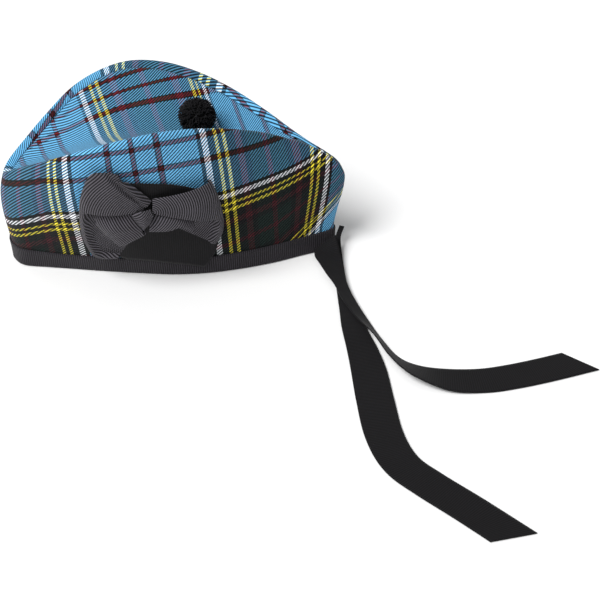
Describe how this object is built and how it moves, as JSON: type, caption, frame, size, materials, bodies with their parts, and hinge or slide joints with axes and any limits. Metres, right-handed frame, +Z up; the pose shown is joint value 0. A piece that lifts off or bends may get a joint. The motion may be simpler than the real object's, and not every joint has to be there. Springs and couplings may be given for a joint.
{
  "type": "glengarry cap",
  "caption": "Boat-shaped tartan glengarry cap with a pinched crown, black toorie, ribbon-bound rim, ribbon bow on the left side and ribbon tails at the back, standing on its rim.",
  "frame": {"origin": "middle of the cap's box at the level of the rim's lower edge, without the two tails", "axes": "+X towards the back of the cap, -Y towards the wearer's left, +Z up"},
  "size_m": [0.4474, 0.4172, 0.1392],
  "materials": {
    "tartan": "wool twill tartan, matt",
    "ribbon": "black grosgrain, satin",
    "wool": "black wool tuft, matt"
  },
  "bodies": {
    "root": {"side_left": "tartan", "side_right": "tartan", "crown": "tartan", "binding": "ribbon", "bow_back": "ribbon", "bow_loop_front": "ribbon", "bow_loop_back": "ribbon", "bow_knot": "ribbon", "toorie": "wool", "tail_near": "ribbon", "tail_far": "ribbon"}
  },
  "joints": []
}
